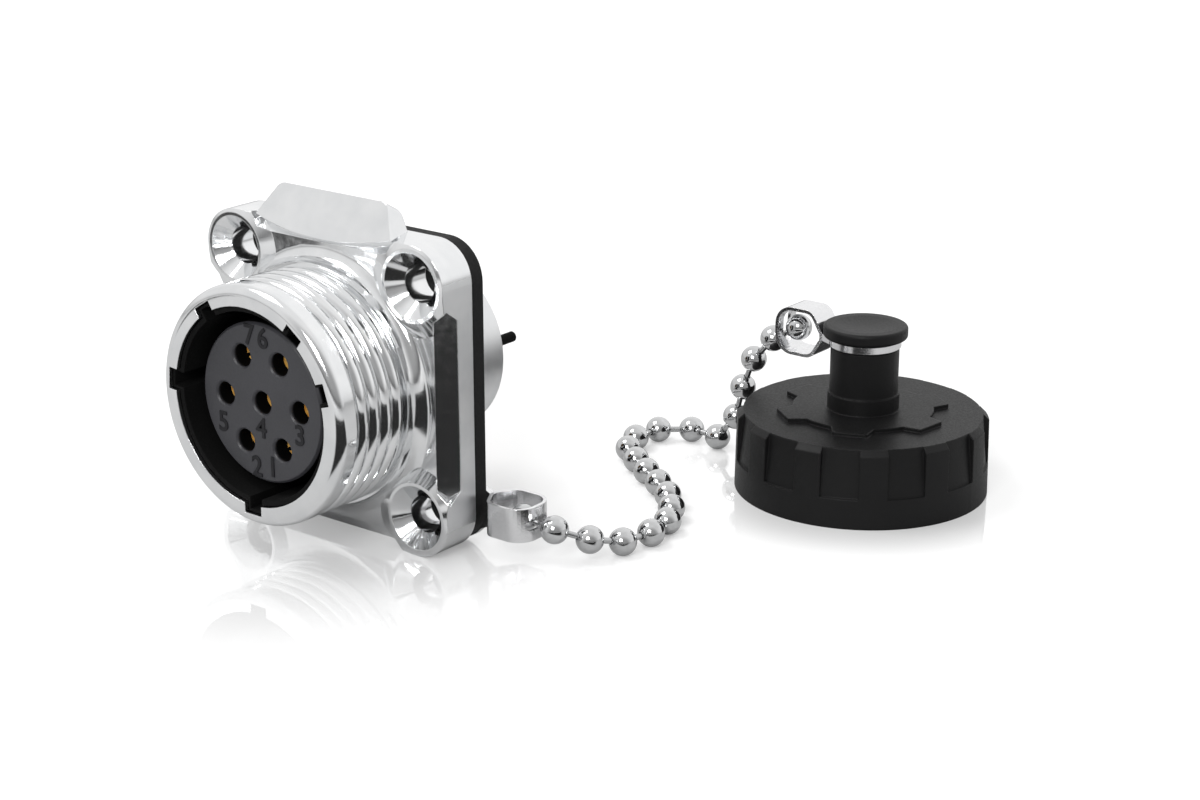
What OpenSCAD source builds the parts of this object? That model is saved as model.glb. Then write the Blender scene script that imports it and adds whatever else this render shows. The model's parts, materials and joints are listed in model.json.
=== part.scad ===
// Square-flange panel socket with seven contacts and a screw cap on a ball chain
// The mating axis is Y. The mouth looks towards -Y, and the panel face of the gasket is at y = 0.
// The flange stands on its lower edge, and the cap and the chain lie on the same surface.

/* [Flange] */
// Side of the square flange
flange_w = 26.8; // [26.2:0.1:28]
// Thickness at the corner bosses
flange_t = 3.7; // [3.4:0.1:4.4]
// How far the face between the bosses lies below them
flange_scoop = 0.5; // [0.3:0.05:0.7]
// Distance between screw holes
screw_pitch = 20; // [19.8:0.1:20.4]
// Screw hole
screw_d = 3.2; // [2.8:0.1:3.4]
// Mouth of the countersink
sink_d = 5.6; // [5:0.1:6]
// Chamfer round the top of each boss
boss_chamfer = 0.3; // [0.1:0.05:0.4]
// Width of the bevelled pocket along each side
bevel_w = 2; // [1.4:0.1:2.3]
// Length of that pocket from tip to tip
bevel_len = 16.6; // [14:0.2:18]

/* [Top tab] */
// Width of the tab at its foot
tab_foot_w = 16.4; // [15:0.2:17]
// Width of the tab along its top edge
tab_top_w = 12.8; // [11:0.2:14]
// Height of the tab above the flange
tab_rise = 2.6; // [2:0.1:3]
// Backward lean of the tab's face
tab_lean = 30; // [22:1:36]
// Radius of the tab's lower edge
tab_arc_r = 28; // [22:1:40]
// Rounding of the tab's upper corners
tab_corner_r = 0.9; // [0.4:0.1:1.2]

/* [Barrel] */
// Reach of the rim ahead of the bosses
barrel_reach = 8.9; // [8.4:0.1:10]
// Mouth of the barrel
mouth_d = 17; // [16.8:0.1:17.2]
// Crest of the coupling thread
thread_d = 20.5; // [20.3:0.1:20.9]
// Depth of the thread
thread_depth = 0.45; // [0.3:0.05:0.5]
// Pitch of the thread
thread_pitch = 1.35; // [1.2:0.05:1.4]
// Number of full ridges
ridge_count = 4; // [3:1:4]
// Length of the plain rim ahead of the thread
rim_len = 2; // [1.6:0.1:2.4]
// Rounding of the rim's outer edge
rim_round = 0.9; // [0.5:0.05:1]
// Collar behind the thread
barrel_collar_d = 21; // [20.6:0.1:21.4]
// Reach of that collar ahead of the bosses
barrel_collar_len = 1; // [0.7:0.1:1.2]
// Concave fillet from the flange to the collar
barrel_fillet = 1.2; // [0.8:0.1:1.5]
// Outside of the barrel behind the panel
rear_d = 15.4; // [15.2:0.1:16]
// Length of that barrel behind the gasket
rear_len = 9; // [8.6:0.1:10]
// Wall of that barrel
rear_wall = 0.5; // [0.45:0.05:0.6]

/* [Keyways] */
// Width of each keyway in the barrel
key_w = 1.9; // [1.5:0.1:2.2]
// Depth of each keyway beyond the mouth
key_depth = 0.8; // [0.6:0.05:0.9]

/* [Insert] */
// Height of the carrier's seat ahead of the flange's back
seat_rise = 1.4; // [1.1:0.1:1.8]
// Depth of the carrier's edge behind the rim
carrier_depth = 0.4; // [0.2:0.05:0.6]
// Depth of the insert's face behind the rim
face_depth = 1.55; // [1.2:0.05:2]
// Diameter of the insert
insert_d = 13.7; // [13.4:0.1:13.8]
// Chamfer round the insert's face
insert_edge = 0.2; // [0.1:0.05:0.3]
// Thickness of the carrier's wall
carrier_wall = 0.45; // [0.35:0.05:0.5]
// Thickness of the carrier's foot
seat_t = 1; // [0.8:0.1:1.4]
// Radius of the circle of contacts
contact_ring_r = 4.25; // [4:0.05:4.5]
// Hole for each contact
contact_hole_d = 1.95; // [1.8:0.05:2.1]
// Chamfer at the mouth of that hole
contact_chamfer = 0.15; // [0.1:0.05:0.2]
// Bore of each contact
contact_bore_d = 0.9; // [0.8:0.05:1.2]
// Depth of that bore
contact_bore_len = 6; // [5:0.5:7]
// Length of the slot across its mouth
contact_slot_len = 4; // [3:0.5:5]
// Width of that slot
contact_slot_w = 0.3; // [0.2:0.05:0.4]
// Depth of each contact behind the insert's face
contact_depth = 1.5; // [1:0.1:2.5]
// Diameter of the solder tails
tail_d = 0.65; // [0.5:0.05:0.8]
// Length of the short tails behind the barrel
tail_len = 2.4; // [1.5:0.1:3]
// Length of the long earth tail behind the barrel
earth_tail_len = 5.4; // [4:0.2:9]
// Wall of the sleeve on the earth tail
sleeve_wall = 0.1; // [0.1:0.05:0.2]

/* [Seals] */
// Thickness of the panel gasket
gasket_t = 1.6; // [1.2:0.1:2]
// How far the gasket lies inside the flange's edge
gasket_inset = 0.2; // [0.1:0.05:0.4]
// Cord of the insert's ring seal
ring_seal_d = 0.9; // [0.8:0.05:1]
// Thickness of the flat seals
flat_seal_t = 0.8; // [0.6:0.05:1]

/* [Tether] */
// Width of the clip's strip
clip_w = 2.9; // [2.6:0.1:3.2]
// Thickness of the clip's strip
clip_t = 0.3; // [0.25:0.05:0.35]
// Outside of the clip's eye
eye_d = 6.4; // [6.2:0.1:6.8]
// Distance from the eye to the clip's nose
clip_reach = 8.6; // [8.4:0.1:9.4]
// Height of the clip's loop
loop_h = 4.4; // [4.2:0.1:5]
// Diameter of a bead
bead_d = 2.4; // [2.3:0.05:2.5]
// Wall of a bead
bead_wall = 0.23; // [0.18:0.01:0.25]
// Distance from bead to bead
bead_pitch = 3.15; // [3.05:0.05:3.4]
// Rod of a link
link_d = 0.52; // [0.46:0.02:0.56]

/* [Cap] */
// Outside of the cap
cap_d = 22.7; // [22.6:0.1:24]
// Height of the skirt
skirt_h = 7.1; // [6.8:0.1:8.2]
// Height of the plain band under the ribs
band_h = 2.7; // [1.5:0.1:3.5]
// Number of ribs
rib_count = 12; // [8:1:16]
// Width of a rib
rib_w = 2.5; // [2:0.1:3]
// Depth of the grip recesses
grip_depth = 0.55; // [0.4:0.05:0.6]
// Depth of their lower ends
grip_ledge = 0.25; // [0.1:0.05:0.35]
// Rounding of the cap's upper edge
cap_edge = 0.5; // [0.3:0.05:0.6]
// Draft of the skirt from its foot to its top
skirt_draft = 0.12; // [0:0.02:0.2]
// Thickness of the cap's top
cap_top_t = 1.6; // [1.3:0.1:2]
// Radius of the raised figure on the top
figure_r = 6.3; // [5.4:0.1:6.6]
// Number of its teeth
figure_teeth = 6; // [4:1:6]
// Reach of those teeth
figure_tooth = 1.3; // [0.8:0.1:1.6]
// Width of a tooth at its foot
tooth_foot_w = 3.8; // [3.4:0.1:4.2]
// Width of a tooth at its tip
tooth_tip_w = 3; // [2.6:0.1:3.2]
// Height of the raised figure
figure_h = 0.35; // [0.2:0.05:0.6]
// Neck of the knob
neck_d = 6.1; // [5.8:0.1:6.3]
// Height of the neck above the cap
neck_h = 6; // [5.2:0.1:6.8]
// Height of the thicker foot of the neck
neck_foot_h = 1.5; // [1:0.1:2]
// Neck inside the clip's eye
waist_d = 4.3; // [4:0.1:4.6]
// Head of the knob
head_d = 7.5; // [7:0.1:8.2]
// Thickness of the head
head_t = 1.1; // [0.9:0.1:1.5]

/* [Fits] */
// Clearance between pieces that are pressed or bonded together
press_gap = 0.05; // [0.03:0.01:0.08]
// Clearance round pieces that turn
turn_gap = 0.3; // [0.2:0.05:0.4]
// Clearance between the cap's thread and the barrel's
thread_gap = 0.15; // [0.1:0.05:0.2]

/* [Hidden] */
$fn = 64;
over = 1;

// Angles of the five keyways, seen from the front
key_angles = [18, 53, 122, 175, 270];
// Angles of the contacts, numbered from the lower right; the one without an angle is in the middle
contact_angles = [300, 240, 0, undef, 180, 60, 120];
contact_places = [for (a = contact_angles) is_undef(a) ? [0, 0] : [contact_ring_r, a]];
// The contact on the right carries the long earth tail
earth_contact = 3;

// Stations along the mating axis, ahead of the panel plane
flange_back = gasket_t;
boss_plane = gasket_t + flange_t;
scoop_plane = boss_plane - flange_scoop;
rim_plane = boss_plane + barrel_reach;
face_plane = rim_plane - face_depth;
seat_plane = flange_back + seat_rise;
channel_floor = seat_plane + seat_t;
carrier_top = rim_plane - carrier_depth;
ring_plane = -1.5;

// Tab: lap over the flange, sag of its lower edge, and steps from the flange's front and back
tab_lap = 0.3;
tab_sag = 0.8;
tab_drop = 0.2;
tab_back = 0.3;

// Radii about the mating axis
flange_r = (flange_w - screw_pitch) / 2;
mouth_r = mouth_d / 2;
thread_r = thread_d / 2;
root_r = thread_r - thread_depth;
ridge_share = 0.96;
ridge_w = ridge_share * thread_pitch;
ridge_r = (pow(ridge_w / 2, 2) + pow(thread_depth, 2)) / (2 * thread_depth);
collar_r = barrel_collar_d / 2;
rear_r = rear_d / 2;
rear_bore_r = rear_r - rear_wall;
insert_r = insert_d / 2;
carrier_r = mouth_r - press_gap;
carrier_in_r = carrier_r - carrier_wall;
stem_r = rear_bore_r - press_gap;
ring_seal_r = rear_bore_r - (ring_seal_d + press_gap) / 2;
ring_groove_r = rear_bore_r - ring_seal_d - press_gap;

// Rear closure: grommet and spring ring
spring_ring_t = 0.5;
spring_ring_depth = 0.2;
spring_ring_w = 1.1;
spring_ring_gap = 2;
rear_lip = 0.4;
spring_ring_plane = rear_lip - rear_len;
grommet_back = spring_ring_plane + spring_ring_t + press_gap;
insert_back = grommet_back + flat_seal_t;

// Tether: the eye is clamped behind the gasket at the lower right screw
floor_z = -flange_w / 2;
bead_r = bead_d / 2;
bead_in_r = bead_r - bead_wall;
link_play = 0.06;
link_hole_d = link_d + 2 * link_play;
link_head_d = link_hole_d + 2 * link_play;
link_head_at = bead_in_r - link_head_d / 2 - press_gap;
loop_neck = 3.6;
loop_pinch = 0.1;
loop_shoulder = 1.2;
shoulder_lead = 1.8;
loop_corner = 1.7;
slot_w = 1.1;
slot_len = 2.8;
cap_eye_d = waist_d + 2 * turn_gap;
bead_seat = clip_reach - clip_t - bead_r - 2 * press_gap;
socket_eye = [screw_pitch / 2, clip_t, -screw_pitch / 2];

// Cap heights above the surface it stands on
cap_r = cap_d / 2;
cap_thread_r = root_r + thread_gap;
cap_ceiling = skirt_h - cap_top_t;
waist_h = 2 * clip_t + turn_gap;
waist_foot = skirt_h + neck_h;
head_foot = waist_foot + waist_h;
eye_z = floor_z + waist_foot + waist_h / 2;
figure_top = skirt_h + figure_h;
neck_step = 0.15;
rib_phase = 7;
figure_phase = -7;
head_dish = 0.15;
head_dish_r = 26;
cap_seal_lap = 0.3;

// Route of the chain: each step is a heading in the floor plane and a rise
bead_floor_z = floor_z + bead_r;
drop = socket_eye.z - bead_floor_z;
drop_steps = [[4, -0.18 * drop], [48, -0.49 * drop], [64, -0.33 * drop]];
lay_headings = [78, 100, 120, 132, 142, 146, 144, 140, 114, 84, 38, -4];
climb_heading = 0;
climb_room = 0.4;
// Run over the cap's edge, as a fan of slopes from steep to flat
over_run = cap_r + bead_r + climb_room - bead_seat;
over_stride = 0.7 * bead_pitch;
over_n = ceil(over_run / over_stride);
over_fan = [for (j = [over_n:-1:1]) cos(90 * j / (over_n + 1))];
over_scale = over_run / total(over_fan);
over_rises = [for (c = over_fan) sqrt(pow(bead_pitch, 2) - pow(c * over_scale, 2))];
// Climb beside the skirt up to that fan
climb_rise = eye_z - bead_floor_z - total(over_rises);
steep_rise = 0.97 * bead_pitch;
climb_n = ceil(climb_rise / steep_rise);
climb_foot = climb_rise - (climb_n - 1) * steep_rise;
climb_steps = [for (i = [1:climb_n]) [climb_heading, i == 1 ? climb_foot : steep_rise]];
over_steps = [for (r = over_rises) [climb_heading, r]];
lay_steps = [for (h = lay_headings) [h, 0]];
chain_steps = concat(drop_steps, lay_steps, climb_steps, over_steps);
beads = walk(socket_eye + [bead_seat, 0, 0], chain_steps);
last_bead = beads[len(beads) - 1];
cap_at = [last_bead.x + bead_seat * cos(climb_heading),
          last_bead.y + bead_seat * sin(climb_heading), floor_z];

// Points of an arc
function arc(at, r, from, to, steps = 6) =
    [for (i = [0:steps]) let (a = from + (to - from) * i / steps) at + r * [cos(a), sin(a)]];
// Sum of a list
function total(list, i = 0) = i == len(list) ? 0 : list[i] + total(list, i + 1);
// One step of the chain: a heading and a rise, as long as the bead pitch
function stride(step) =
    let (run = sqrt(pow(bead_pitch, 2) - pow(step[1], 2)))
    [run * cos(step[0]), run * sin(step[0]), step[1]];
// Places of the beads from a start and a list of steps
function walk(at, steps, i = 0) =
    i == len(steps) ? [at] : concat([at], walk(at + stride(steps[i]), steps, i + 1));

// Turns local z to the front, so that heights count ahead of the panel plane
module axial() {
    rotate([90, 0, 0]) children();
}

// Revolves a profile of radius and station about the mating axis
module turned() {
    axial() rotate_extrude() children();
}

// Ring of given radii between two stations
module ring_profile(r_in, r_out, from, to) {
    translate([r_in, from]) square([r_out - r_in, to - from]);
}

// Places a child at the four screw holes
module at_screws() {
    for (sx = [-1, 1], sy = [-1, 1])
        translate([sx * screw_pitch / 2, sy * screw_pitch / 2, 0]) children();
}

// Square with round corners
module round_square(side, r) {
    square([side, side - 2 * r], center = true);
    square([side - 2 * r, side], center = true);
    for (sx = [-1, 1], sy = [-1, 1])
        translate([sx * (side / 2 - r), sy * (side / 2 - r)]) circle(r);
}

// Points a child's z axis from one place to another
module aim(from, to) {
    d = to - from;
    translate(from) rotate([0, acos(d.z / norm(d)), atan2(d.y, d.x)]) children();
}

// Sector of a disc between two radii
module sector(r_in, r_out, width) {
    polygon([for (s = [-1, 1], r = s < 0 ? [r_in, r_out] : [r_out, r_in])
        [r * cos(s * width / 2), r * sin(s * width / 2)]]);
}

// Pocket bevelled into one side of the flange, with pointed ends
module side_pocket() {
    leg = bevel_w / sqrt(2);
    straight = bevel_len / 2 - bevel_w / 2;
    translate([flange_w / 2 - leg / 2, 0, scoop_plane - leg / 2]) rotate([0, 45, 0])
        linear_extrude(bevel_w)
            polygon([[-bevel_w / 2, -straight], [0, -bevel_len / 2], [bevel_w / 2, -straight],
                     [bevel_w / 2, straight], [0, bevel_len / 2], [-bevel_w / 2, straight]]);
}

// Flange with its bosses, before the barrel is added
module flange_block() {
    translate([0, 0, flange_back]) linear_extrude(scoop_plane - flange_back)
        round_square(flange_w, flange_r);
    intersection() {
        at_screws() {
            translate([0, 0, flange_back])
                cylinder(r = flange_r, h = boss_plane - boss_chamfer - flange_back);
            translate([0, 0, boss_plane - boss_chamfer])
                cylinder(r1 = flange_r, r2 = flange_r - boss_chamfer, h = boss_chamfer);
            translate([0, 0, scoop_plane])
                cylinder(r1 = flange_r + 2 * flange_scoop, r2 = flange_r - boss_chamfer,
                         h = flange_scoop);
        }
        translate([0, 0, flange_back]) linear_extrude(flange_t)
            round_square(flange_w, flange_r);
    }
}

// Tab's face: a trapezoid with round upper corners and a bowed lower edge
module tab_face(face_h) {
    side_lean = atan2((tab_foot_w - tab_top_w) / 2, face_h + tab_sag);
    corner = [tab_top_w / 2 - tab_corner_r, face_h - tab_corner_r];
    intersection() {
        polygon(concat([[-tab_foot_w / 2, -tab_sag], [tab_foot_w / 2, -tab_sag]],
                       arc(corner, tab_corner_r, side_lean, 90),
                       arc([-corner.x, corner.y], tab_corner_r, 90, 180 - side_lean)));
        translate([0, tab_arc_r - tab_sag]) circle(tab_arc_r, $fn = 128);
    }
}

// Leaning tab on the flange's upper edge
module top_tab() {
    intersection() {
        translate([0, flange_w / 2 - tab_lap, boss_plane - tab_drop]) rotate([-tab_lean, 0, 0])
            translate([0, 0, -flange_t]) linear_extrude(flange_t)
                tab_face((tab_rise + tab_lap) / cos(tab_lean));
        translate([-flange_w / 2, 0, flange_back + tab_back])
            cube([flange_w, flange_w, flange_t]);
    }
}

// Profiles of the thread's ridges below a station, standing on a root radius
module thread_ridges(root, top) {
    for (k = [0:ridge_count - 1])
        translate([root + thread_depth - ridge_r, top - (k + 0.5) * thread_pitch]) circle(ridge_r);
}

// Barrel's outside as a profile of radius and station
module barrel_profile() {
    thread_top = rim_plane - rim_len;
    // Plain rim with a rounded outer edge
    ring_profile(0, thread_r, thread_top, rim_plane - rim_round);
    ring_profile(0, thread_r - rim_round, thread_top, rim_plane);
    translate([thread_r - rim_round, rim_plane - rim_round]) circle(rim_round);
    // Thread: rounded ridges with narrow roots between them
    ring_profile(0, root_r, flange_back, thread_top + rim_round / 2);
    thread_ridges(root_r, thread_top - thread_depth);
    // Collar behind the thread and its concave fillet
    ring_profile(0, collar_r, flange_back, boss_plane + barrel_collar_len);
    difference() {
        ring_profile(0, collar_r + barrel_fillet, flange_back, scoop_plane + barrel_fillet);
        translate([collar_r + barrel_fillet, scoop_plane + barrel_fillet]) circle(barrel_fillet);
    }
    // Barrel behind the panel
    ring_profile(0, rear_r, -rear_len, flange_back + over);
}

// Die-cast body: flange, bosses, tab and barrel in one casting
module shell() {
    color("silver") difference() {
        union() {
            difference() {
                axial() flange_block();
                axial() for (a = [0, 90, 180, 270]) rotate([0, 0, a]) side_pocket();
            }
            axial() top_tab();
            intersection() {
                turned() barrel_profile();
                axial() translate([0, 0, -rear_len - over])
                    linear_extrude(rim_plane + rear_len + 2 * over) round_square(flange_w, flange_r);
            }
        }
        turned() {
            ring_profile(0, rear_bore_r, -rear_len - over, seat_plane + over);
            ring_profile(0, rear_bore_r + spring_ring_depth, spring_ring_plane,
                         spring_ring_plane + spring_ring_t);
        }
        axial() {
            translate([0, 0, seat_plane]) linear_extrude(rim_plane - seat_plane + over)
                keyed_circle(mouth_r, mouth_r + key_depth, key_w);
            at_screws() {
                translate([0, 0, -over]) cylinder(d = screw_d, h = boss_plane + 2 * over);
                translate([0, 0, boss_plane - (sink_d - screw_d) / 2])
                    cylinder(d1 = screw_d, d2 = sink_d, h = (sink_d - screw_d) / 2);
                translate([0, 0, boss_plane]) cylinder(d = sink_d, h = barrel_reach / 2);
            }
        }
    }
}

// Rubber gasket between the flange and the panel
module panel_gasket() {
    color("#1b1b1c") axial() difference() {
        linear_extrude(gasket_t) round_square(flange_w - 2 * gasket_inset, flange_r);
        translate([0, 0, -over]) cylinder(r = rear_r + press_gap, h = gasket_t + 2 * over);
        at_screws() translate([0, 0, -over]) cylinder(d = screw_d + 4 * press_gap, h = gasket_t + 2 * over);
    }
}

// Circle with a bar out to a larger radius at each keyway
module keyed_circle(r, reach, width) {
    circle(r);
    for (a = key_angles) rotate(a) translate([0, -width / 2]) square([reach, width]);
}

// Lining of the barrel, with a keyed channel at each keyway
module insert_carrier() {
    channel_w = key_w - 2 * press_gap;
    channel_r = mouth_r + key_depth - press_gap;
    color("#141415") axial() translate([0, 0, seat_plane]) {
        // Foot with the insert's hole
        linear_extrude(seat_t) difference() {
            keyed_circle(carrier_r, channel_r, channel_w);
            circle(insert_r + press_gap);
        }
        // Wall with the keyed channels
        linear_extrude(carrier_top - seat_plane) difference() {
            keyed_circle(carrier_r, channel_r, channel_w);
            keyed_circle(carrier_in_r, channel_r - carrier_wall / 2, channel_w - carrier_wall);
        }
    }
}

// Moulded insert that holds the contacts
module contact_insert() {
    color("#3a3a3d") difference() {
        turned() difference() {
            union() {
                polygon([[0, insert_back], [insert_r, insert_back], [insert_r, face_plane - insert_edge],
                         [insert_r - insert_edge, face_plane], [0, face_plane]]);
                ring_profile(0, stem_r, insert_back, seat_plane);
            }
            ring_profile(ring_groove_r, rear_r, ring_plane - ring_seal_d / 2 - press_gap,
                         ring_plane + ring_seal_d / 2 + press_gap);
        }
        axial() for (p = contact_places) rotate([0, 0, p[1]]) translate([p[0], 0, 0]) {
            translate([0, 0, insert_back - over])
                cylinder(d = contact_hole_d, h = face_plane - insert_back + 2 * over);
            translate([0, 0, face_plane - contact_chamfer])
                cylinder(d1 = contact_hole_d, d2 = contact_hole_d + 4 * contact_chamfer,
                         h = 2 * contact_chamfer);
        }
    }
}

// Turned socket contact with a split mouth and a solder tail
module contact(number) {
    place = contact_places[number - 1];
    front = face_plane - contact_depth;
    body_r = contact_hole_d / 2 - 2 * press_gap;
    tail = rear_len + (number == earth_contact ? earth_tail_len : tail_len);
    tip = tail_d / 4;
    color("#d9a441") axial() rotate([0, 0, place[1]]) translate([place[0], 0, 0]) difference() {
        rotate_extrude() {
            ring_profile(0, body_r, insert_back + press_gap, front);
            ring_profile(0, contact_hole_d / 2 - press_gap / 2, seat_plane, seat_plane + seat_t);
            polygon([[0, -tail], [tail_d / 2 - tip, -tail], [tail_d / 2, -tail + tip],
                     [tail_d / 2, front - over], [0, front - over]]);
        }
        translate([0, 0, front - contact_bore_len])
            cylinder(d = contact_bore_d, h = contact_bore_len + over);
        translate([-contact_slot_w / 2, -contact_hole_d, front - contact_slot_len])
            cube([contact_slot_w, 2 * contact_hole_d, contact_slot_len + over]);
    }
}

// Insulating sleeve on the earth tail
module earth_sleeve() {
    place = contact_places[earth_contact - 1];
    bore_r = tail_d / 2 + press_gap;
    sleeve_r = bore_r + sleeve_wall;
    tip = -rear_len - earth_tail_len;
    root = grommet_back - press_gap;
    color("#101011") axial() rotate([0, 0, place[1]]) translate([place[0], 0, 0]) rotate_extrude()
        polygon([[bore_r, tip], [sleeve_r - sleeve_wall / 2, tip], [sleeve_r, tip + sleeve_wall / 2],
                 [sleeve_r, root], [bore_r, root]]);
}

// Flat seal at the bottom of the mouth
module interface_seal() {
    color("#1d1d1f") turned()
        ring_profile(insert_r + press_gap, carrier_in_r - press_gap, channel_floor,
                     channel_floor + flat_seal_t);
}

// Ring seal in the insert's groove
module insert_ring_seal() {
    color("#1b1b1c") turned()
        translate([ring_seal_r, ring_plane]) circle(d = ring_seal_d);
}

// Rubber grommet that seals the tails at the back
module rear_grommet() {
    color("#202022") difference() {
        turned() ring_profile(0, rear_bore_r - press_gap, grommet_back, insert_back);
        axial() for (p = contact_places) rotate([0, 0, p[1]]) translate([p[0], 0, -rear_len - over])
            cylinder(d = tail_d + 2 * press_gap, h = rear_len);
    }
}

// Split spring ring that keeps the grommet and insert in the barrel
module spring_ring() {
    ring_r = rear_bore_r + spring_ring_depth - press_gap;
    color("#8d8f93") difference() {
        turned() ring_profile(ring_r - spring_ring_w, ring_r, spring_ring_plane + press_gap / 2,
                              spring_ring_plane + spring_ring_t - press_gap / 2);
        axial() translate([-spring_ring_gap / 2, 0, -rear_len])
            cube([spring_ring_gap, rear_d, rear_len]);
    }
}

// Outline of the clip's loop, seen along the strip's width
module loop_outline() {
    hull() {
        translate([loop_neck, -clip_t]) square([loop_pinch, 2 * clip_t]);
        for (s = [-1, 1]) {
            translate([loop_neck + shoulder_lead, s * (loop_h / 2 - loop_shoulder)])
                circle(loop_shoulder, $fn = 32);
            translate([clip_reach - loop_corner, s * (loop_h / 2 - loop_corner)])
                circle(loop_corner, $fn = 32);
        }
    }
}

// Stamped strip folded into an eye and a loop; the eye is at the origin, flat in z
module tether_clip(hole_d) {
    difference() {
        union() {
            translate([0, 0, -clip_t]) linear_extrude(2 * clip_t) {
                circle(d = eye_d);
                polygon([[0, -eye_d / 2], [loop_neck, -clip_w / 2], [loop_neck, clip_w / 2],
                         [0, eye_d / 2]]);
                translate([loop_neck, -clip_w / 2]) square([loop_pinch, clip_w]);
            }
            translate([0, clip_w / 2, 0]) rotate([90, 0, 0]) linear_extrude(clip_w)
                difference() {
                    loop_outline();
                    offset(delta = -clip_t) loop_outline();
                }
        }
        translate([0, 0, -over]) cylinder(d = hole_d, h = 2 * over);
        for (s = [-1, 1])
            translate([clip_reach - loop_corner, 0, s * (slot_len - slot_w) / 2])
                rotate([0, 90, 0]) cylinder(d = slot_w, h = 2 * loop_corner);
        translate([clip_reach - loop_corner, -slot_w / 2, (slot_w - slot_len) / 2])
            cube([2 * loop_corner, slot_w, slot_len - slot_w]);
    }
}

// Clip clamped under the lower right screw
module socket_clip() {
    color("#c9cbce") translate(socket_eye) rotate([90, 0, 0]) tether_clip(screw_d);
}

// Clip round the waist of the cap's knob
module cap_clip() {
    color("#c9cbce") translate([cap_at.x, cap_at.y, eye_z])
        rotate([0, 0, 180 + climb_heading]) tether_clip(cap_eye_d);
}

// Half section of a hollow bead, open at its upper pole for a link
module bead_section() {
    difference() {
        circle(bead_r);
        circle(bead_in_r);
        translate([-bead_d, -bead_d]) square([bead_d, 2 * bead_d]);
        translate([-over, 0]) square([over + link_hole_d / 2, bead_d]);
    }
}

// Hollow bead with a hole for each link that enters it
module bead(i) {
    ahead = i < len(beads) - 1 ? i + 1 : i - 1;
    difference() {
        aim(beads[i], beads[ahead]) rotate_extrude() bead_section();
        if (i > 0 && ahead > i) aim(beads[i], beads[i - 1]) cylinder(d = link_hole_d, h = bead_d);
    }
}

// Beads of the chain
module chain_beads() {
    color("#c9cbce") for (i = [0:len(beads) - 1]) bead(i);
}

// Links of the chain: a rod with a head inside each of two beads
module chain_links() {
    color("#b9bbbf") for (i = [0:len(beads) - 2])
        aim(beads[i], beads[i + 1]) {
            translate([0, 0, link_head_at]) sphere(d = link_head_d);
            translate([0, 0, link_head_at]) cylinder(d = link_d, h = bead_pitch - 2 * link_head_at);
            translate([0, 0, bead_pitch - link_head_at]) sphere(d = link_head_d);
        }
}

// Cap's outside: skirt, neck, waist and head
module cap_profile() {
    neck_r = neck_d / 2;
    head_r = head_d / 2;
    lip = head_t / 4;
    top_r = cap_r - skirt_draft;
    polygon([[0, 0], [cap_r, 0], [top_r, skirt_h - cap_edge], [top_r - cap_edge, skirt_h],
             [0, skirt_h]]);
    ring_profile(0, neck_r, skirt_h - over, waist_foot);
    ring_profile(0, neck_r + neck_step, skirt_h - over, figure_top + neck_foot_h);
    ring_profile(0, waist_d / 2, waist_foot - over, head_foot + head_t / 2);
    ring_profile(0, head_r, head_foot + lip, head_foot + head_t - lip);
    ring_profile(0, head_r - lip, head_foot, head_foot + head_t);
    for (z = [lip, head_t - lip]) translate([head_r - lip, head_foot + z]) circle(lip);
}

// Tooth of the raised figure, narrower at its tip
module figure_tooth_outline() {
    tip_r = figure_r + figure_tooth;
    polygon([[figure_r / 2, -tooth_foot_w / 2], [figure_r - figure_tooth / 4, -tooth_foot_w / 2],
             [tip_r, -tooth_tip_w / 2], [tip_r, tooth_tip_w / 2],
             [figure_r - figure_tooth / 4, tooth_foot_w / 2], [figure_r / 2, tooth_foot_w / 2]]);
}

// Screw cap with grip ribs and a knob
module cap() {
    grip_r = cap_r - skirt_draft - grip_depth;
    rib_step = 360 / rib_count;
    recess_angle = rib_step - 2 * asin(rib_w / cap_d);
    color("#17171a") translate(cap_at) difference() {
        union() {
            rotate_extrude() cap_profile();
            // Raised figure round the neck
            translate([0, 0, skirt_h - over]) linear_extrude(figure_h + over) {
                circle(figure_r);
                for (k = [0:figure_teeth - 1]) rotate(figure_phase + 360 / figure_teeth * k)
                    figure_tooth_outline();
            }
        }
        // Grip recesses between the ribs
        translate([0, 0, band_h]) intersection() {
            difference() {
                cylinder(r = cap_r + over, h = skirt_h - band_h);
                cylinder(r1 = cap_r - grip_ledge, r2 = grip_r, h = skirt_h - band_h);
            }
            linear_extrude(skirt_h)
                for (k = [0:rib_count - 1])
                    rotate(rib_phase + (k + 0.5) * rib_step)
                        sector(cap_r / 2, cap_r + 2 * over, recess_angle);
        }
        // Threaded inside
        rotate_extrude() {
            ring_profile(0, cap_thread_r, -over, cap_ceiling);
            thread_ridges(cap_thread_r, cap_ceiling - flat_seal_t);
        }
        // Shallow dish in the knob's head
        translate([0, 0, head_foot + head_t + head_dish_r - head_dish])
            sphere(r = head_dish_r, $fn = 96);
    }
}

// Flat seal under the cap's top
module cap_seal() {
    color("#2a2a2d") translate(cap_at) rotate_extrude()
        ring_profile(mouth_r - cap_seal_lap, cap_thread_r - press_gap, cap_ceiling - flat_seal_t,
                     cap_ceiling);
}

shell();
panel_gasket();
insert_carrier();
contact_insert();
contact(1);  // contact_1
contact(2);  // contact_2
contact(3);  // contact_3
contact(4);  // contact_4
contact(5);  // contact_5
contact(6);  // contact_6
contact(7);  // contact_7
earth_sleeve();
interface_seal();
insert_ring_seal();
rear_grommet();
spring_ring();
socket_clip();
chain_beads();
chain_links();
cap_clip();
cap();
cap_seal();
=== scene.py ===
import json
import math

import bpy
from mathutils import Matrix, Vector


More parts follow.
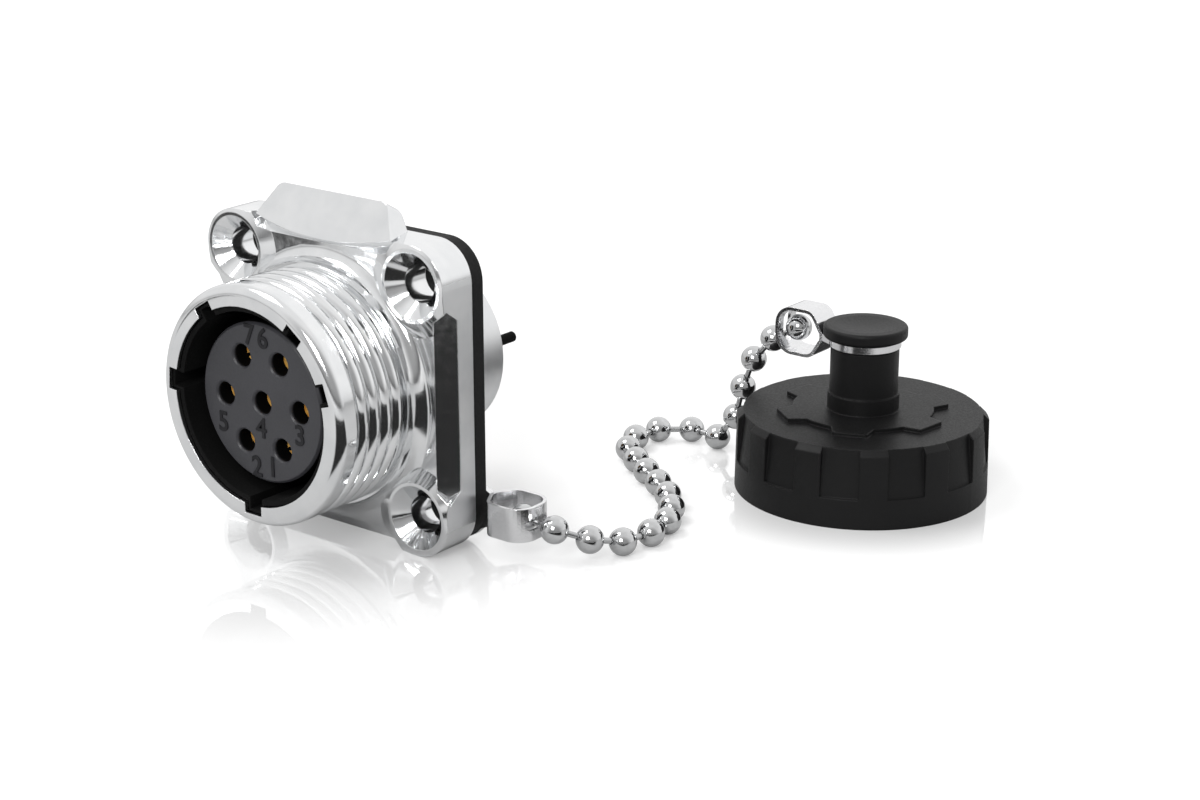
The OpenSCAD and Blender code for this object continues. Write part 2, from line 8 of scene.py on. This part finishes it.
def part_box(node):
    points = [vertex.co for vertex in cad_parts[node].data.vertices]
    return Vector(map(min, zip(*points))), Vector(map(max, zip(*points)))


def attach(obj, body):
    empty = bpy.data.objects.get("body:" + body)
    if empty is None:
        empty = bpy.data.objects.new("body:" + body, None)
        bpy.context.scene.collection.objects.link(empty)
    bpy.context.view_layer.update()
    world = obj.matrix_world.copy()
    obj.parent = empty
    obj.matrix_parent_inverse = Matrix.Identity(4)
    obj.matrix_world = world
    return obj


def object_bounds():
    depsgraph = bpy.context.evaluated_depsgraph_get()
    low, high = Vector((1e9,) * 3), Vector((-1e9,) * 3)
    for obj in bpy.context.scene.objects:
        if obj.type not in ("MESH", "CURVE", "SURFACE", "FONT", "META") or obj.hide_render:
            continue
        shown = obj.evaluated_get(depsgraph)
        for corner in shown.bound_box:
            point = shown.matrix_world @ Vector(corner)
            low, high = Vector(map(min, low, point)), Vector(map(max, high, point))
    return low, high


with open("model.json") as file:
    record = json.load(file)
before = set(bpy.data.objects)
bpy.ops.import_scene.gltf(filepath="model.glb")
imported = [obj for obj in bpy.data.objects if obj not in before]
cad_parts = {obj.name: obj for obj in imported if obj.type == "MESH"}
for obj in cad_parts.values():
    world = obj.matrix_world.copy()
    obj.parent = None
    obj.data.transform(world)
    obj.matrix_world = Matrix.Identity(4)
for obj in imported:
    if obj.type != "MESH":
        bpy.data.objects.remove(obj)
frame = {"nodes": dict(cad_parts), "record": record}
cad_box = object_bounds()

MM = 0.001

# Camera, fitted to the photograph, with its angles in degrees
CAMERA_AZIMUTH = 37.69
CAMERA_ELEVATION = 18.5
CAMERA_AT = Vector((135.91, -143.22, 62.66)) * MM
CAMERA_LENS = 72
CAMERA_NEAR = 5 * MM
SENSOR_WIDTH = 36

# Lamps: place and side in metres, and power; and the light that comes from all round
LAMPS = {"key_light": ((-0.2, -0.12, 0.45), 0.2, 0.75),
         "fill_light": ((0.15, -0.36, 0.23), 0.16, 1.0)}
LAMP_TARGET = (0.01, 0.01, 0)
AMBIENT = 0.85

# Floor, with a glow to the camera that grows from near the object to far from it
FLOOR_SIDE = 6
FLOOR_ALBEDO = 0.8
NEAR_GLOW = 0.28
FAR_GLOW = 0.45
NEAR_END = 60 * MM
FAR_START = 220 * MM

# Gloss of the floor: a polished round at the socket's foot, one under the cap, and the duller rest
ROUND_GLOSS = 0.48
SOCKET_ROUND = Vector((2, -10, 0)) * MM
# Distance where each round starts to fade, and where it ends
SOCKET_FADE = (4 * MM, 33 * MM)
CAP_FADE = (11.5 * MM, 20 * MM)
FLOOR_GLOSS = 0.05
FLOOR_BLUR = 0.03

# Painted reflections: the white table seen dimmer, and dark cards painted on it, which reflections
# alone show
TABLE_LEVEL = 0.72
# Each card: direction and half width in degrees, nearest and farthest distance, level
PAINTED_CARDS = [(-36, 38, 27 * MM, 95 * MM, 0.03), (-138, 5.5, 95 * MM, 170 * MM, 0.06)]
# Blur of a card's near, far and side edges, as a share
CARD_NEAR_BLUR = 1 / 20
CARD_FAR_BLUR = 1 / 40
CARD_SIDE_BLUR = 1 / 5

# The walls of the studio, as reflections show them: height and level
WALL_LEVELS = [(0, 0.56), (0.1, 0.76), (0.2, 0.83), (1, 0.87)]
# How much lighter the wall behind the object is, and where that starts and is full
BACK_LIGHT = 0.16
BACK_SPAN = (0.1, 0.7)
# The room behind the camera: direction in degrees, how much darker, where it starts and is full
ROOM_SIDE = -50
ROOM_DARK = 0.45
ROOM_SPAN = (0.3, 0.85)

# Noise: its detail, and the range of it that is spread over a colour or a value
SMOOTH_DETAIL = 2
NOISE_DETAIL = 3
FINE_DETAIL = 4
NOISE_SPAN = (0.3, 0.7)
EDGE_SAMPLES = 4

# Plating of the casting: colours, roughness, and sizes in millimetres
PLATE_DARK = (0.8, 0.81, 0.82)
PLATE_LIGHT = (0.88, 0.885, 0.89)
PLATE_ROUGH = (0.07, 0.13)
PLATE_WAVE = 2.5
PLATE_MARK = 0.6
PLATE_RELIEF = 0.01
PLATE_EDGE = 0.12
# Roughness that the rear barrel and the flange's sides have beyond that
SATIN = 0.28
# Where it starts and is full: behind the panel's face, and short of the flange's side
SATIN_BEHIND = (0, 0.1)
SATIN_BESIDE = (0.1, 0.02)

# Plated steel: its darker marks and range of roughness as shares, and sizes in millimetres
STEEL_DARK = 0.88
STEEL_ROUGH = (0.7, 1.3)
STEEL_RELIEF = 0.004
STEEL_EDGE = 0.04
STEELS = {
    "spring_steel": dict(light=(0.55, 0.56, 0.58), rough=0.3, grain=0.2),
    "clip_steel": dict(light=(0.88, 0.88, 0.89), rough=0.12, grain=0.2, stretch=(1, 1, 6)),
    "bead_steel": dict(light=(0.68, 0.685, 0.69), rough=0.06, grain=0.5),
    "link_steel": dict(light=(0.56, 0.565, 0.57), rough=0.2, grain=0.2),
}

# Mouldings: sizes in millimetres, and the spread of the roughness
MOTTLE_SIZE = 4
ROUGH_SPREAD = 0.08
MOULDINGS = {
    "gasket_rubber": dict(colour=(0.007, 0.007, 0.0072), rough=0.65, grain=0.25, depth=0.02,
                          sheen=0.25),
    # carrier_black is near black: a dark lining put where the deep mouth has only shade, so its
    # colour is painted shade
    "carrier_black": dict(colour=(0.003, 0.003, 0.003), rough=0.85, grain=0.2, depth=0.01,
                          sheen=0.15),
    "seal_rubber": dict(colour=(0.012, 0.012, 0.012), rough=0.7, grain=0.3, depth=0.02),
    "cap_black": dict(colour=(0.0055, 0.0055, 0.0057), rough=0.45, grain=0.12, depth=0.012,
                      mottle=0.12, sheen=0.22, edge=0.2),
    "number_dark": dict(colour=(0.014, 0.014, 0.016), rough=0.55, grain=0.15, depth=0.008,
                        sheen=0.2, edge=0.05),
}

# Insert: colours of its face and of the painted shade in its holes, and sizes in millimetres
FACE_DARK = (0.03, 0.03, 0.0345)
FACE_LIGHT = (0.036, 0.036, 0.0414)
FACE_SHEEN = 0.45
# Painted shade: near-black colours for the walls of the holes, in place of the shade deep in them
HOLE_SHADE_DARK = (0.0016, 0.0016, 0.0016)
HOLE_SHADE_LIGHT = (0.002, 0.002, 0.002)
HOLE_SHEEN = 0.05
HOLE_MOTTLE = 1
# Depth behind the face where the painted shade of the holes starts and is full
HOLE_SHADE_DEPTH = (0.15, 0.4)
INSERT_ROUGH = (0.36, 0.5)
INSERT_GRAIN = 0.15
INSERT_RELIEF = 0.008
INSERT_EDGE = 0.12

# Gold plating of the contacts, with its grain in millimetres
GOLD_DARK = (1.0, 0.42, 0.06)
GOLD_LIGHT = (1.0, 0.62, 0.16)
GOLD_METAL = 0.35
GOLD_ROUGH = (0.35, 0.5)
GOLD_GRAIN = 0.3

# Numbers beside the contacts: sizes, and x and z on the insert's face, in millimetres
NUMBER_HEIGHT = 1.75
NUMBER_RELIEF = 0.06
NUMBER_WEIGHT = 0.025
NUMBER_EDGE = 0.02
NUMBER_STEPS = 6
# Size of the font over the height of its figures
FONT_SHARE = 1.4
NUMBER_PLACES = {1: (0.97, -5.43), 2: (-0.86, -5.75), 3: (4.25, -2.01), 4: (-0.16, -2.26),
                 5: (-4.6, -2.6), 6: (0.45, 5.55), 7: (-1.11, 5.6)}


def add_node(tree, kind, inputs, **settings):
    """The outputs of a new shader node, whose inputs are constants or other nodes' outputs."""
    node = tree.nodes.new("ShaderNode" + kind)
    for name, value in settings.items():
        setattr(node, name, value)
    for socket, value in inputs.items():
        if isinstance(value, bpy.types.NodeSocket):
            tree.links.new(value, node.inputs[socket])
        else:
            node.inputs[socket].default_value = value
    return node.outputs


def math_node(tree, operation, *values):
    """The result of one operation on numbers or other nodes' outputs."""
    return add_node(tree, "Math", dict(enumerate(values)), operation=operation)["Value"]


def vector_node(tree, operation, *vectors):
    """The number that one operation makes of a vector or two."""
    return add_node(tree, "VectorMath", dict(enumerate(vectors)), operation=operation)["Value"]


def ranged(tree, value, start, end, low=0, high=1, curve="LINEAR"):
    """A value carried from one range to another, and held at its ends."""
    inputs = {"Value": value, "From Min": start, "From Max": end, "To Min": low, "To Max": high}
    return add_node(tree, "MapRange", inputs, interpolation_type=curve)["Result"]


def fade(tree, value, middle, blur):
    """A smooth rise from nought to one about a middle."""
    return ranged(tree, value, middle - blur, middle + blur, curve="SMOOTHSTEP")


def heading(degrees):
    """A level direction."""
    return math.cos(math.radians(degrees)), math.sin(math.radians(degrees)), 0


def object_place(tree):
    """The place of a point on its object."""
    return add_node(tree, "TexCoord", {})["Object"]


def object_noise(tree, size, detail=NOISE_DETAIL, stretch=(1, 1, 1)):
    """Noise with features of a size in millimetres, fixed to the object."""
    place = add_node(tree, "Mapping", {"Vector": object_place(tree), "Scale": stretch})["Vector"]
    inputs = {"Vector": place, "Scale": 1 / (size * MM), "Detail": detail}
    return add_node(tree, "TexNoise", inputs)["Fac"]


def spread(tree, noise, low, high):
    """A noise spread between two values."""
    return ranged(tree, noise, *NOISE_SPAN, low, high)


def tint(tree, noise, dark, light):
    """A noise spread between two colours."""
    node = tree.nodes.new("ShaderNodeValToRGB")
    for stop, position, colour in zip(node.color_ramp.elements, NOISE_SPAN, (dark, light)):
        stop.position = position
        stop.color = (*colour, 1)
    tree.links.new(noise, node.inputs["Fac"])
    return node.outputs["Color"]


def relief(tree, noise, depth, edge):
    """A surface bumped by a noise, with soft edges; depth and radius are in millimetres."""
    soft = add_node(tree, "Bevel", {"Radius": edge * MM}, samples=EDGE_SAMPLES)["Normal"]
    inputs = {"Distance": depth * MM, "Height": noise, "Normal": soft}
    return add_node(tree, "Bump", inputs)["Normal"]


def scaled(colour, share):
    """A colour made darker or lighter."""
    return tuple(share * level for level in colour)


def new_material(name):
    """An empty material and its nodes."""
    material = bpy.data.materials.new(name)
    material.use_nodes = True
    material.node_tree.nodes.clear()
    return material, material.node_tree


def principled(tree, inputs):
    """Ends a material with one Principled shader."""
    shader = add_node(tree, "BsdfPrincipled", inputs)["BSDF"]
    add_node(tree, "OutputMaterial", {"Surface": shader})


def plated_casting(name):
    """Bright, faintly wavy plating, which is satin behind the panel and on the flange's sides."""
    material, tree = new_material(name)
    waves = object_noise(tree, PLATE_WAVE, detail=SMOOTH_DETAIL)
    place = add_node(tree, "SeparateXYZ", {"Vector": object_place(tree)})
    behind_start, behind_end = (depth * MM for depth in SATIN_BEHIND)
    behind = ranged(tree, place["Y"], behind_start, behind_end, 0, SATIN)
    side_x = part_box("shell")[1].x
    side_start, side_end = (side_x - inset * MM for inset in SATIN_BESIDE)
    beside = ranged(tree, math_node(tree, "ABSOLUTE", place["X"]), side_start, side_end, 0, SATIN)
    rough = spread(tree, object_noise(tree, PLATE_MARK), *PLATE_ROUGH)
    principled(tree, {
        "Metallic": 1,
        "Base Color": tint(tree, waves, PLATE_DARK, PLATE_LIGHT),
        "Roughness": math_node(tree, "ADD", rough, math_node(tree, "MAXIMUM", behind, beside)),
        "Normal": relief(tree, waves, PLATE_RELIEF, PLATE_EDGE)})
    return material


def polished_steel(name, light, rough, grain, stretch=(1, 1, 1)):
    """Plated steel with a fine grain."""
    material, tree = new_material(name)
    marks = object_noise(tree, grain, stretch=stretch)
    smooth, dull = STEEL_ROUGH
    principled(tree, {
        "Metallic": 1,
        "Base Color": tint(tree, marks, scaled(light, STEEL_DARK), light),
        "Roughness": spread(tree, marks, rough * smooth, rough * dull),
        "Normal": relief(tree, marks, STEEL_RELIEF, STEEL_EDGE)})
    return material


def moulding(name, colour, rough, grain, depth, mottle=0.2, sheen=0.5, edge=0.1):
    """Moulded plastic or rubber: a fine erosion texture and a faint mottle."""
    material, tree = new_material(name)
    texture = object_noise(tree, grain, detail=FINE_DETAIL)
    dark, light = scaled(colour, 1 - mottle), scaled(colour, 1 + mottle)
    principled(tree, {
        "Specular IOR Level": sheen,
        "Base Color": tint(tree, object_noise(tree, MOTTLE_SIZE), dark, light),
        "Roughness": spread(tree, texture, rough - ROUGH_SPREAD, rough + ROUGH_SPREAD),
        "Normal": relief(tree, texture, depth, edge)})
    return material


def insert_moulding(name):
    """The insert's grey moulding, with painted shade that makes it dark and dull inside the holes
    and behind the face.
    """
    material, tree = new_material(name)
    face_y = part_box("contact_insert")[0].y
    shade_start, shade_end = (face_y + depth * MM for depth in HOLE_SHADE_DEPTH)
    place = add_node(tree, "SeparateXYZ", {"Vector": object_place(tree)})
    # Painted shade: the colour darkens and the sheen drops with depth behind the face
    inside = ranged(tree, place["Y"], shade_start, shade_end)
    face = tint(tree, object_noise(tree, MOTTLE_SIZE), FACE_DARK, FACE_LIGHT)
    painted_hole_shade = tint(tree, object_noise(tree, HOLE_MOTTLE), HOLE_SHADE_DARK, HOLE_SHADE_LIGHT)
    shade = add_node(tree, "Mix", {"Factor": inside, "A": face, "B": painted_hole_shade}, data_type="RGBA")
    texture = object_noise(tree, INSERT_GRAIN, detail=FINE_DETAIL)
    principled(tree, {
        "Base Color": shade["Result"],
        "Roughness": math_node(tree, "ADD", spread(tree, texture, *INSERT_ROUGH), inside),
        "Specular IOR Level": ranged(tree, inside, 0, 1, FACE_SHEEN, HOLE_SHEEN),
        "Normal": relief(tree, texture, INSERT_RELIEF, INSERT_EDGE)})
    return material


def gold_plate(name):
    """Gold plating on the contacts."""
    material, tree = new_material(name)
    marks = object_noise(tree, GOLD_GRAIN)
    principled(tree, {
        "Metallic": GOLD_METAL,
        "Base Color": tint(tree, marks, GOLD_DARK, GOLD_LIGHT),
        "Roughness": spread(tree, marks, *GOLD_ROUGH)})
    return material


def part_materials():
    """The materials by the names of the record's slots, and that of the numbers."""
    makers = {"plated_casting": plated_casting, "insert_grey": insert_moulding,
              "contact_gold": gold_plate}
    materials = {name: make(name) for name, make in makers.items()}
    materials.update({name: polished_steel(name, **look) for name, look in STEELS.items()})
    materials.update({name: moulding(name, **look) for name, look in MOULDINGS.items()})
    return materials


def dress_nodes(materials):
    """Gives every CAD node the material of its slot."""
    for part in frame["record"]["subparts"]:
        mesh = frame["nodes"][part["node"]].data
        mesh.materials.clear()
        mesh.materials.append(materials[part["material_slot"]])


def contact_numbers(material):
    """Moulded numbers on the insert's face, one beside each contact."""
    face_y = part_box("contact_insert")[0].y
    for number, (x, z) in NUMBER_PLACES.items():
        text = bpy.data.curves.new(f"number_{number}", "FONT")
        text.body = str(number)
        text.align_x = "CENTER"
        text.align_y = "CENTER"
        text.size = NUMBER_HEIGHT * MM * FONT_SHARE
        text.extrude = NUMBER_RELIEF * MM
        text.offset = NUMBER_WEIGHT * MM
        text.bevel_depth = NUMBER_EDGE * MM
        text.resolution_u = NUMBER_STEPS
        figure = bpy.data.objects.new(f"number_{number}", text)
        bpy.context.scene.collection.objects.link(figure)
        figure.location = (x * MM, face_y, z * MM)
        figure.rotation_euler = (math.radians(90), 0, 0)
        figure.data.materials.append(material)
        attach(figure, "socket")


def wall_level(tree, height):
    """The level of the walls at a height."""
    node = tree.nodes.new("ShaderNodeValToRGB")
    stops = node.color_ramp.elements
    stops.remove(stops[1])
    for position, level in WALL_LEVELS:
        stops.new(position).color = (level, level, level, 1)
    stops.remove(stops[0])
    tree.links.new(height, node.inputs["Fac"])
    return node.outputs["Color"]


def studio_world():
    """White to the camera; reflections show the walls and the darker room behind the camera."""
    world = bpy.data.worlds.new("studio")
    world.use_nodes = True
    tree = world.node_tree
    tree.nodes.clear()
    path = add_node(tree, "LightPath", {})
    seen = math_node(tree, "MAXIMUM", path["Is Camera Ray"], path["Is Glossy Ray"])
    seen = math_node(tree, "MAXIMUM", seen, path["Is Transmission Ray"])
    direction = add_node(tree, "TexCoord", {})["Generated"]
    place = add_node(tree, "SeparateXYZ", {"Vector": direction})
    back = ranged(tree, place["Y"], *BACK_SPAN, 0, BACK_LIGHT, "SMOOTHSTEP")
    facing = vector_node(tree, "DOT_PRODUCT", direction, heading(ROOM_SIDE))
    room = ranged(tree, facing, *ROOM_SPAN, 0, ROOM_DARK, "SMOOTHSTEP")
    ends = math_node(tree, "SUBTRACT", back, room)
    walls = math_node(tree, "ADD", wall_level(tree, place["Z"]), ends)
    level = add_node(tree, "Mix", {"Factor": path["Is Camera Ray"], "A": walls, "B": 1})["Result"]
    strength = ranged(tree, seen, 0, 1, AMBIENT, 1)
    background = add_node(tree, "Background", {"Color": level, "Strength": strength})["Background"]
    add_node(tree, "OutputWorld", {"Surface": background})
    bpy.context.scene.world = world


def table_light(tree, place, away, mirrored):
    """The floor's share of light, with painted reflection shade: reflections alone see the table
    dimmed and the dark cards painted on it.
    """
    # Painted reflection shade: glossy rays see the floor at the table's level, and darker still in
    # the cards
    dimmed = 1 - TABLE_LEVEL
    for direction, half_width, start, end, level in PAINTED_CARDS:
        reach = math.cos(math.radians(half_width))
        towards = vector_node(tree, "DOT_PRODUCT", place, heading(direction))
        share = math_node(tree, "DIVIDE", towards, away)
        near = fade(tree, away, start, CARD_NEAR_BLUR * start)
        far = fade(tree, away, end, CARD_FAR_BLUR * end)
        ring = math_node(tree, "SUBTRACT", near, far)
        side = fade(tree, share, reach, CARD_SIDE_BLUR * (1 - reach))
        card = math_node(tree, "MULTIPLY", ring, side)
        dimmed = math_node(tree, "MULTIPLY_ADD", card, TABLE_LEVEL - level, dimmed)
    return math_node(tree, "SUBTRACT", 1, math_node(tree, "MULTIPLY", dimmed, mirrored))


def floor_gloss(tree, place):
    """The gloss of the floor, with its polished rounds."""
    low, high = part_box("cap")
    cap_round = Vector(((low.x + high.x) / 2, (low.y + high.y) / 2, 0))
    gloss = FLOOR_GLOSS
    for middle, (start, end) in [(SOCKET_ROUND, SOCKET_FADE), (cap_round, CAP_FADE)]:
        away = vector_node(tree, "DISTANCE", place, middle)
        dull = fade(tree, away, (start + end) / 2, (end - start) / 2)
        polish = math_node(tree, "MULTIPLY_ADD", dull, -ROUND_GLOSS, ROUND_GLOSS)
        gloss = math_node(tree, "MAXIMUM", gloss, polish)
    return gloss


def floor_material():
    """White floor that keeps the shadow, with a gloss and a glow to the camera alone."""
    material, tree = new_material("floor_white")
    place = object_place(tree)
    away = vector_node(tree, "LENGTH", place)
    path = add_node(tree, "LightPath", {})
    seen = path["Is Camera Ray"]
    light = table_light(tree, place, away, path["Is Glossy Ray"])
    albedo = (FLOOR_ALBEDO, FLOOR_ALBEDO, FLOOR_ALBEDO)
    white = add_node(tree, "VectorMath", {0: albedo, "Scale": light}, operation="SCALE")["Vector"]
    diffuse = add_node(tree, "BsdfDiffuse", {"Color": white})["BSDF"]
    mirror = add_node(tree, "BsdfGlossy", {"Roughness": FLOOR_BLUR})["BSDF"]
    gloss = math_node(tree, "MULTIPLY", floor_gloss(tree, place), seen)
    surface = add_node(tree, "MixShader", {"Fac": gloss, 1: diffuse, 2: mirror})["Shader"]
    strength = ranged(tree, away, NEAR_END, FAR_START, NEAR_GLOW, FAR_GLOW)
    strength = math_node(tree, "MULTIPLY", strength, seen)
    glow = add_node(tree, "Emission", {"Strength": strength})["Emission"]
    total = add_node(tree, "AddShader", {0: surface, 1: glow})["Shader"]
    add_node(tree, "OutputMaterial", {"Surface": total})
    return material


def add_object(name, data, place):
    """An object put at a place in the scene."""
    thing = bpy.data.objects.new(name, data)
    thing.matrix_world = place
    bpy.context.scene.collection.objects.link(thing)
    return thing


def studio_floor():
    """The white floor that the socket, the chain and the cap stand on."""
    half = FLOOR_SIDE / 2
    corners = [(-half, -half, 0), (half, -half, 0), (half, half, 0), (-half, half, 0)]
    mesh = bpy.data.meshes.new("floor")
    mesh.from_pydata(corners, [], [(0, 1, 2, 3)])
    mesh.materials.append(floor_material())
    thing = add_object("floor", mesh, Matrix.Translation((0, 0, cad_box[0][2])))


def soft_light(name, at, side, power):
    """A soft square lamp."""
    lamp = bpy.data.lights.new(name, "AREA")
    lamp.shape = "RECTANGLE"
    lamp.size = side
    lamp.size_y = side
    lamp.energy = power
    aim = (Vector(LAMP_TARGET) - Vector(at)).to_track_quat("-Z", "Y")
    add_object(name, lamp, Matrix.Translation(at) @ aim.to_matrix().to_4x4())


def photo_camera():
    """The camera at the photograph's place."""
    azimuth, elevation = math.radians(CAMERA_AZIMUTH), math.radians(CAMERA_ELEVATION)
    right = Vector((math.cos(azimuth), math.sin(azimuth), 0))
    back = Vector((math.sin(azimuth) * math.cos(elevation),
                   -math.cos(azimuth) * math.cos(elevation), math.sin(elevation)))
    turn = Matrix((right, back.cross(right), back)).transposed().to_4x4()
    camera = bpy.data.cameras.new("photo_camera")
    camera.lens = CAMERA_LENS
    camera.sensor_width = SENSOR_WIDTH
    camera.sensor_fit = "HORIZONTAL"
    camera.clip_start = CAMERA_NEAR
    place = Matrix.Translation(CAMERA_AT) @ turn
    bpy.context.scene.camera = add_object("photo_camera", camera, place)


bpy.context.scene.view_settings.view_transform = "Standard"
photo_camera()
studio_world()
studio_floor()
for lamp_name, (lamp_at, lamp_side, lamp_power) in LAMPS.items():
    soft_light(lamp_name, lamp_at, lamp_side, lamp_power)
part_looks = part_materials()
dress_nodes(part_looks)
contact_numbers(part_looks["number_dark"])
